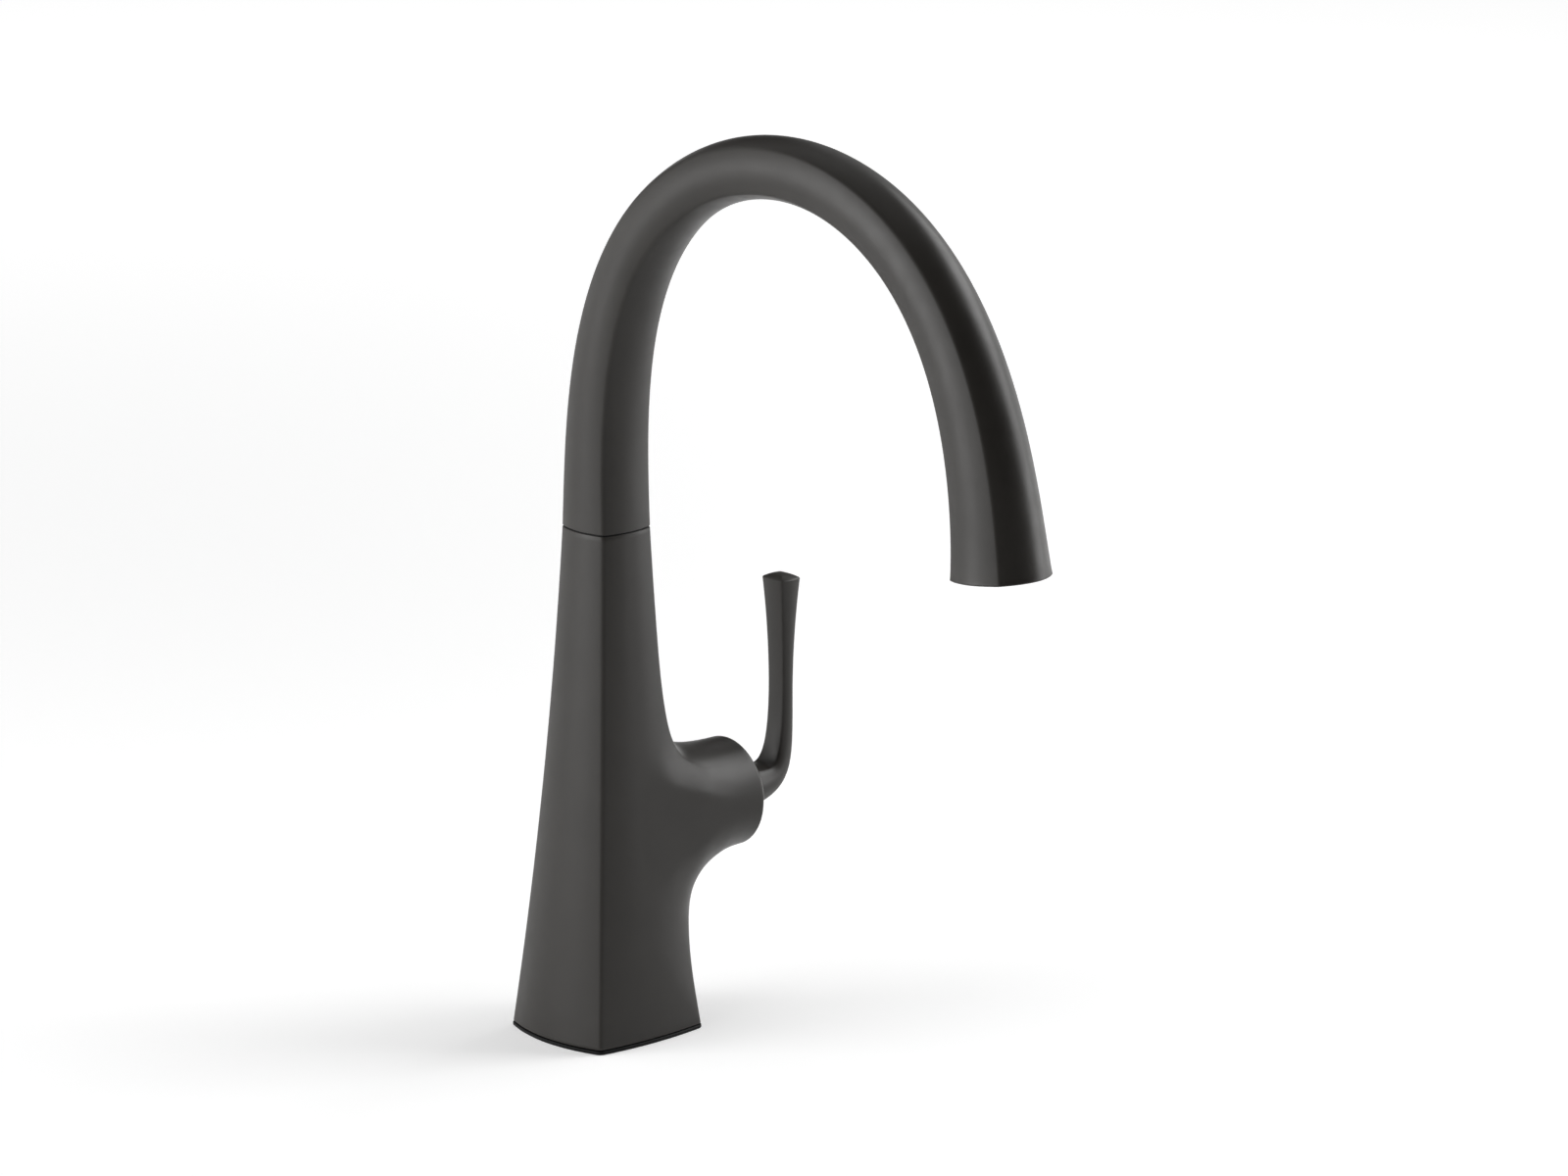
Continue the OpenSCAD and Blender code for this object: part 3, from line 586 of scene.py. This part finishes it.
lever = {
    # root in the dome, place and top of the shaft, and the bend between them with its two pulls
    "rootX": 70.0, "x": 90.9, "topZ": 164.6, "bendUp": 38.5, "bendPull": (2.4, 5),
    # half sizes at the root and at the waist, how fast the root gives way, and how the shaft grows again
    # from this far above the boss's axis
    "root": 6.7, "rootFade": 1.66, "waist": (2.52, 4.42), "flare": (0.00107, 0.0007), "flareFrom": 35.5,
    "bow": 0.13, "rootBow": 0.41, "rounding": 0.55,
    # crowned top: size and rise of its edge, then how high it is, what part of that it has at the edge,
    # and the sizes of its sections
    "crownEdge": (0.985, 0.1), "crown": 1.62, "crownStart": 0.13,
    "crownRings": [0.955, 0.9, 0.82, 0.72, 0.6, 0.47, 0.34, 0.2, 0.08],
    # hole of the plug: radius, x, and its two ends below the boss's axis
    "plugHole": (2.1, 73.5, 14, 3.5), "plugSides": 48,
    "bendRings": 60, "shaftRings": 40, "sideSteps": 12, "cornerSteps": 4, "smoothAngle": 30,
}


def leverRing(place, way, halves, bow, size=1.0):
    # a section at a place in x and z, square to the way the lever runs there
    s = lever
    section = softSection(halves[0] * size, halves[1] * size, bow, bow, s["rounding"] * size,
                          s["sideSteps"], s["cornerSteps"])
    return np.column_stack([place[0] + section[:, 0] * way[1], -section[:, 1],
                            place[1] - section[:, 0] * way[0]])


def buildLever():
    s = lever
    z = body["bossZ"]
    shaftZ = z + s["bendUp"]
    inwards, upwards = s["bendPull"]
    line = [[s["rootX"], z], [s["x"] - inwards, z], [s["x"], z + upwards], [s["x"], shaftZ]]
    waist = np.array(s["waist"])
    flare = np.array(s["flare"])
    rings = []
    for t in np.linspace(0, 1, s["bendRings"] + 1):
        halves = mix(waist, s["root"], (1 - t) ** s["rootFade"])
        bow = mix(s["bow"], s["rootBow"], (1 - t) ** 2)
        rings.append(leverRing(bezier(line, t)[0], bezierWay(line, t), halves, bow))
    up = (0.0, 1.0)
    for height in np.linspace(shaftZ, s["topZ"], s["shaftRings"] + 1)[1:]:
        halves = waist + flare * max(0, height - z - s["flareFrom"]) ** 2
        rings.append(leverRing((s["x"], height), up, halves, s["bow"]))
    crown = [s["crownEdge"]]
    for size in s["crownRings"]:
        crown.append((size, s["crown"] * mix(s["crownStart"], 1, 1 - size ** 3)))
    for size, rise in crown:
        rings.append(leverRing((s["x"], s["topZ"] + rise), up, halves, s["bow"], size))
    piece = loft("leverArm", rings)
    radius, x, low, high = s["plugHole"]
    cutWith(piece, [rod("plugHole", radius, (x, 0, z - low), (x, 0, z - high), s["plugSides"])])
    return smooth(piece, s["smoothAngle"])


leverArm = buildLever()
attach(leverArm, "lever")
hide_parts("lever")


# dome that turns in the boss's end and carries the lever

dome = {
    # a ball that reaches from behind the pivot to just outside the boss's rim, and its wall
    "radius": 20.0, "wall": 1.8, "rear": -2.4, "rimOut": 0.3,
    # height of the flattened front outside and inside, and how far the inner one sits back
    "rise": 8.2, "innerRise": 6.2, "innerBack": 0.9,
    "steps": 40, "turns": 128, "smoothAngle": 30,
}


def domeOutline():
    # half outline: x from the pivot along the boss, and distance from the boss's axis
    d = dome
    rim = body["bossX"] - body["pivotX"] + d["rimOut"]
    flatX = lever["rootX"] - body["pivotX"]
    radius = d["radius"]
    edge = math.sqrt(radius ** 2 - rim ** 2)
    outline = [(x, math.sqrt(radius ** 2 - x * x)) for x in np.linspace(d["rear"], rim, d["steps"])]
    for turn in np.linspace(0, math.asin((flatX - rim) / d["rise"]), d["steps"])[1:]:
        outline.append((rim + d["rise"] * math.sin(turn), edge * math.cos(turn)))
    outline.append((flatX, 0.0))
    radius = d["radius"] - d["wall"]
    rim = rim - d["innerBack"]
    edge = math.sqrt(radius ** 2 - rim ** 2)
    for turn in np.linspace(90, 0, d["steps"]):
        a = math.radians(turn)
        outline.append((rim + d["innerRise"] * math.sin(a), edge * math.cos(a)))
    for x in np.linspace(rim, d["rear"], d["steps"])[1:]:
        outline.append((x, math.sqrt(radius ** 2 - x * x)))
    return outline + outline[:1]


def buildDome():
    x0 = body["pivotX"]
    z0 = body["bossZ"]
    points = [(mm * (x0 + x), 0.0, mm * (z0 + r)) for x, r in domeOutline()]
    mesh = bpy.data.meshes.new("handleDome")
    mesh.from_pydata(points, [(i, i + 1) for i in range(len(points) - 1)], [])
    piece = bpy.data.objects.new("handleDome", mesh)
    bpy.context.scene.collection.objects.link(piece)
    makeActive(piece)
    bpy.ops.object.mode_set(mode="EDIT")
    bpy.ops.mesh.select_all(action="SELECT")
    bpy.ops.mesh.spin(steps=dome["turns"], angle=2 * math.pi, center=(0, 0, mm * z0), axis=(1, 0, 0))
    bpy.ops.object.mode_set(mode="OBJECT")
    pointNormalsOut(piece)
    return smooth(piece, dome["smoothAngle"])


handleDome = buildDome()
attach(handleDome, "lever")
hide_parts("handle_dome")
print("lever and dome made")


# helpers for materials

def startMaterial(name):
    material = bpy.data.materials.new(name)
    material.use_nodes = True
    tree = material.node_tree
    shader = tree.nodes["Principled BSDF"]
    place = tree.nodes.new("ShaderNodeTexCoord")
    return material, tree, shader, place.outputs["Object"]


def addNoise(tree, place, scale, detail, roughness=0.5, stretch=None):
    noise = tree.nodes.new("ShaderNodeTexNoise")
    noise.inputs["Scale"].default_value = scale
    noise.inputs["Detail"].default_value = detail
    noise.inputs["Roughness"].default_value = roughness
    source = place
    if stretch:
        mapping = tree.nodes.new("ShaderNodeMapping")
        mapping.inputs["Scale"].default_value = stretch
        tree.links.new(place, mapping.inputs["Vector"])
        source = mapping.outputs["Vector"]
    tree.links.new(source, noise.inputs["Vector"])
    return noise.outputs["Fac"]


def addRange(tree, source, low, high):
    # noise keeps mostly between 0.35 and 0.65, and that becomes low to high
    spread = tree.nodes.new("ShaderNodeMapRange")
    spread.inputs["From Min"].default_value = 0.35
    spread.inputs["From Max"].default_value = 0.65
    spread.inputs["To Min"].default_value = low
    spread.inputs["To Max"].default_value = high
    tree.links.new(source, spread.inputs["Value"])
    return spread.outputs["Result"]


def addColours(tree, source, dark, light):
    ramp = tree.nodes.new("ShaderNodeValToRGB")
    ramp.color_ramp.elements[0].position = 0.3
    ramp.color_ramp.elements[1].position = 0.7
    ramp.color_ramp.elements[0].color = (*dark, 1)
    ramp.color_ramp.elements[1].color = (*light, 1)
    tree.links.new(source, ramp.inputs["Fac"])
    return ramp.outputs["Color"]


def addBump(tree, shader, source, distance, strength):
    bump = tree.nodes.new("ShaderNodeBump")
    bump.inputs["Distance"].default_value = distance
    bump.inputs["Strength"].default_value = strength
    tree.links.new(source, bump.inputs["Height"])
    tree.links.new(bump.outputs["Normal"], shader.inputs["Normal"])


# finishes

coat = {
    "dark": (0.0192, 0.0172, 0.015), "light": (0.0228, 0.0205, 0.018), "specular": 0.31,
    "roughness": (0.36, 0.41), "cloud": 55.0, "patch": 140.0,
    "grain": 2600.0, "grainDepth": 0.000012, "grainStrength": 0.35,
}


def matteBlackCoat():
    material, tree, shader, place = startMaterial("matte black coat")
    cloud = addNoise(tree, place, coat["cloud"], 4.0)
    tree.links.new(addColours(tree, cloud, coat["dark"], coat["light"]), shader.inputs["Base Color"])
    patch = addNoise(tree, place, coat["patch"], 5.0)
    tree.links.new(addRange(tree, patch, *coat["roughness"]), shader.inputs["Roughness"])
    grain = addNoise(tree, place, coat["grain"], 2.0)
    addBump(tree, shader, grain, coat["grainDepth"], coat["grainStrength"])
    shader.inputs["Specular IOR Level"].default_value = coat["specular"]
    return material


def plainFinish(name, dark, light, roughness, metallic=0.0, scale=300.0, depth=0.00001, stretch=None,
                specular=0.5):
    # coarse clouds in the colour, and a finer grain in the gloss and the surface
    material, tree, shader, place = startMaterial(name)
    cloud = addNoise(tree, place, scale * 0.3, 4.0)
    tree.links.new(addColours(tree, cloud, dark, light), shader.inputs["Base Color"])
    fine = addNoise(tree, place, scale, 4.0, 0.6, stretch)
    tree.links.new(addRange(tree, fine, *roughness), shader.inputs["Roughness"])
    addBump(tree, shader, fine, depth, 0.5)
    shader.inputs["Metallic"].default_value = metallic
    shader.inputs["Specular IOR Level"].default_value = specular
    return material


blackCoat = matteBlackCoat()
blackTrim = plainFinish("moulded black trim", (0.003, 0.003, 0.003), (0.006, 0.006, 0.006), (0.4, 0.55),
                        scale=900, specular=0.12)
blackRubber = plainFinish("soft black rubber", (0.012, 0.012, 0.012), (0.02, 0.02, 0.02), (0.7, 0.9),
                          scale=500)
machinedBrass = plainFinish("machined brass", (0.62, 0.46, 0.2), (0.74, 0.57, 0.29), (0.22, 0.36),
                            metallic=1, scale=700, depth=0.00002, stretch=(1, 1, 8))
plainSteel = plainFinish("plain steel", (0.5, 0.5, 0.51), (0.62, 0.62, 0.63), (0.25, 0.42),
                         metallic=1, scale=900, stretch=(1, 1, 6))
blackenedSteel = plainFinish("blackened steel", (0.03, 0.03, 0.031), (0.05, 0.05, 0.051), (0.35, 0.5),
                             metallic=1, scale=900)
whiteAcetal = plainFinish("white acetal", (0.74, 0.74, 0.7), (0.82, 0.82, 0.79), (0.38, 0.5), scale=400)
greyComb = plainFinish("grey honeycomb plastic", (0.06, 0.06, 0.065), (0.1, 0.1, 0.105), (0.35, 0.5),
                       scale=900)
lappedCeramic = plainFinish("lapped ceramic", (0.85, 0.84, 0.79), (0.91, 0.9, 0.86), (0.08, 0.16),
                            scale=500, depth=0.000002)

finishes = {
    blackCoat: ["handle_dome", "aerator_housing", "column_shell", "spout_tube", "lever"],
    blackTrim: ["glide_ring", "base_ring", "handle_screw_plug"],
    blackRubber: ["base_gasket", "cartridge_seals", "rubber_washer", "spout_o_rings", "aerator_seal"],
    machinedBrass: ["valve_body", "hot_inlet_tail", "cold_inlet_tail", "bonnet_nut", "mounting_shank",
                    "mounting_nut", "spout_post", "cartridge_stem"],
    plainSteel: ["steel_washer", "clamp_screws", "pivot_pin", "handle_screw"],
    blackenedSteel: ["spout_screw"],
    whiteAcetal: ["cartridge_base", "cartridge_housing", "spout_hub", "cartridge_rotor", "disc_carrier"],
    greyComb: ["aerator_insert"],
    lappedCeramic: ["fixed_disc", "moving_disc"],
}


def dress(piece, material):
    piece.data.materials.clear()
    piece.data.materials.append(material)


for material, names in finishes.items():
    for name in names:
        dress(nodes[name], material)
for piece in (columnCasting, spoutTube, leverArm, handleDome):
    dress(piece, blackCoat)
dress(baseRing, blackTrim)
print("materials set")


# floor and backdrop

stage = {
    "floorSize": 12.0, "white": 0.8, "roughness": 0.9,
    # the floor's own glow: near the object, far behind it and far in front of it, and between which
    # distances in metres the near one gives way
    "nearGlow": 0.3, "farGlow": 0.86, "frontGlow": 0.42, "grows": (0.45, 2.0),
    # the way into the depth of the photo's view, and where along it floor and wall change
    "sweep": (0.664, 0.748, 0.0), "floorSweep": (-1.0, 0.5), "wallSweep": (-0.3, 0.2),
    # the wall fades into the ceiling between these two slopes of view
    "wallTop": (0.03, 0.12), "ceiling": 0.06,
}


def combine(tree, operation, first, second):
    node = tree.nodes.new("ShaderNodeMath")
    node.operation = operation
    tree.links.new(first, node.inputs[0])
    tree.links.new(second, node.inputs[1])
    return node.outputs[0]


def seenDirectly(tree):
    # 1 for the rays that show the backdrop: straight, in a gloss, or through glass
    rays = tree.nodes.new("ShaderNodeLightPath").outputs
    straight = combine(tree, "MAXIMUM", rays["Is Camera Ray"], rays["Is Glossy Ray"])
    return combine(tree, "MAXIMUM", straight, rays["Is Transmission Ray"])


def softStep(tree, source, start, end, low=0.0, high=1.0):
    # low before the start and high after the end; each may be a number or another node's result
    step = tree.nodes.new("ShaderNodeMapRange")
    step.interpolation_type = "SMOOTHSTEP"
    step.inputs["From Min"].default_value = start
    step.inputs["From Max"].default_value = end
    for socket, value in (("To Min", low), ("To Max", high)):
        if isinstance(value, float):
            step.inputs[socket].default_value = value
        else:
            tree.links.new(value, step.inputs[socket])
    tree.links.new(source, step.inputs["Value"])
    return step.outputs["Result"]


def alongSweep(tree, place, ends):
    along = tree.nodes.new("ShaderNodeVectorMath")
    along.operation = "DOT_PRODUCT"
    along.inputs[1].default_value = stage["sweep"]
    tree.links.new(place, along.inputs[0])
    return softStep(tree, along.outputs["Value"], *ends)


def buildFloor():
    deselectAll()
    bpy.ops.mesh.primitive_plane_add(size=stage["floorSize"], location=(0, 0, 0))
    floor = bpy.context.object
    floor.name = "studioFloor"
    material, tree, shader, place = startMaterial("studio floor")
    white = stage["white"]
    shader.inputs["Base Color"].default_value = (white, white, white, 1)
    shader.inputs["Roughness"].default_value = stage["roughness"]
    shader.inputs["Specular IOR Level"].default_value = 0.0
    shader.inputs["Emission Color"].default_value = (1, 1, 1, 1)
    away = tree.nodes.new("ShaderNodeVectorMath")
    away.operation = "LENGTH"
    tree.links.new(place, away.inputs[0])
    behind = alongSweep(tree, place, stage["floorSweep"])
    farGlow = softStep(tree, behind, 0.0, 1.0, stage["frontGlow"], stage["farGlow"])
    glow = softStep(tree, away.outputs["Value"], *stage["grows"], stage["nearGlow"], farGlow)
    strength = combine(tree, "MULTIPLY", seenDirectly(tree), glow)
    tree.links.new(strength, shader.inputs["Emission Strength"])
    floor.data.materials.append(material)


def buildWorld():
    # a low white wall behind the object under a dim ceiling
    world = bpy.context.scene.world or bpy.data.worlds.new("studio")
    bpy.context.scene.world = world
    world.use_nodes = True
    tree = world.node_tree
    background = tree.nodes["Background"]
    background.inputs["Color"].default_value = (1, 1, 1, 1)
    way = tree.nodes.new("ShaderNodeTexCoord").outputs["Generated"]
    split = tree.nodes.new("ShaderNodeSeparateXYZ")
    tree.links.new(way, split.inputs["Vector"])
    white, dim = stage["wallTop"]
    low = tree.nodes.new("ShaderNodeMapRange")
    low.inputs["From Min"].default_value = dim
    low.inputs["From Max"].default_value = white
    tree.links.new(split.outputs["Z"], low.inputs["Value"])
    wall = combine(tree, "MULTIPLY", low.outputs["Result"], alongSweep(tree, way, stage["wallSweep"]))
    strength = tree.nodes.new("ShaderNodeMapRange")
    strength.inputs["To Min"].default_value = stage["ceiling"]
    strength.inputs["To Max"].default_value = 1.0
    tree.links.new(combine(tree, "MULTIPLY", seenDirectly(tree), wall), strength.inputs["Value"])
    tree.links.new(strength.outputs["Result"], background.inputs["Strength"])


buildFloor()
buildWorld()


# soft boxes around the object, in metres

softBoxes = {
    "distance": 1.5, "size": 0.75, "target": (0.0, -0.08, 0.19),
    # watts by height and by azimuth, both in degrees; azimuth 0 is the front, 90 the lever's side
    "watts": {
        8: {60: 6.6, 90: 1.0, 210: 1.3, 240: 10.4, 270: 5.1},
        34: {60: 9.7, 90: 5.9, 120: 0.8, 180: 0.6, 210: 1.5, 240: 4.2, 270: 1.6},
        61: {135: 0.85, 180: 0.67},
        90: {0: 0.8},
    },
}


def hangSoftBox(height, azimuth, watts):
    h = math.radians(height)
    a = math.radians(azimuth)
    target = Vector(softBoxes["target"])
    way = Vector((math.cos(h) * math.sin(a), -math.cos(h) * math.cos(a), math.sin(h)))
    place = target + way * softBoxes["distance"]
    deselectAll()
    bpy.ops.object.light_add(type="AREA", location=place)
    lamp = bpy.context.object
    lamp.name = "softBox" + str(height) + "x" + str(azimuth)
    lamp.data.shape = "SQUARE"
    lamp.data.size = softBoxes["size"]
    lamp.data.energy = watts
    lamp.rotation_euler = (target - place).to_track_quat("-Z", "Y").to_euler()
    lamp.visible_camera = False


for height, around in softBoxes["watts"].items():
    for azimuth, watts in around.items():
        hangSoftBox(height, azimuth, watts)


# camera at the photo's angle: degrees, metres from the frame's origin, and mm of lens and sensor

camera = {
    "azimuth": -41.588, "elevation": 15.086, "distance": 3.052, "right": 0.019867, "up": 0.170439,
    "lens": 180.0, "sensor": 36.0, "shiftX": 0.08026, "clipNear": 0.05, "clipFar": 50.0,
}


def buildCamera():
    a = math.radians(camera["azimuth"])
    e = math.radians(camera["elevation"])
    right = Vector((math.cos(a), math.sin(a), 0))
    forward = Vector((-math.sin(a) * math.cos(e), math.cos(a) * math.cos(e), -math.sin(e)))
    up = right.cross(forward)
    place = right * camera["right"] + up * camera["up"] - forward * camera["distance"]
    deselectAll()
    bpy.ops.object.camera_add(location=place)
    view = bpy.context.object
    view.rotation_euler = Matrix((right, up, -forward)).transposed().to_euler()
    view.data.sensor_width = camera["sensor"]
    view.data.lens = camera["lens"]
    view.data.shift_x = camera["shiftX"]
    view.data.clip_start = camera["clipNear"]
    view.data.clip_end = camera["clipFar"]
    bpy.context.scene.camera = view


buildCamera()
bpy.context.scene.view_settings.view_transform = "Standard"
print("floor, light and camera set")
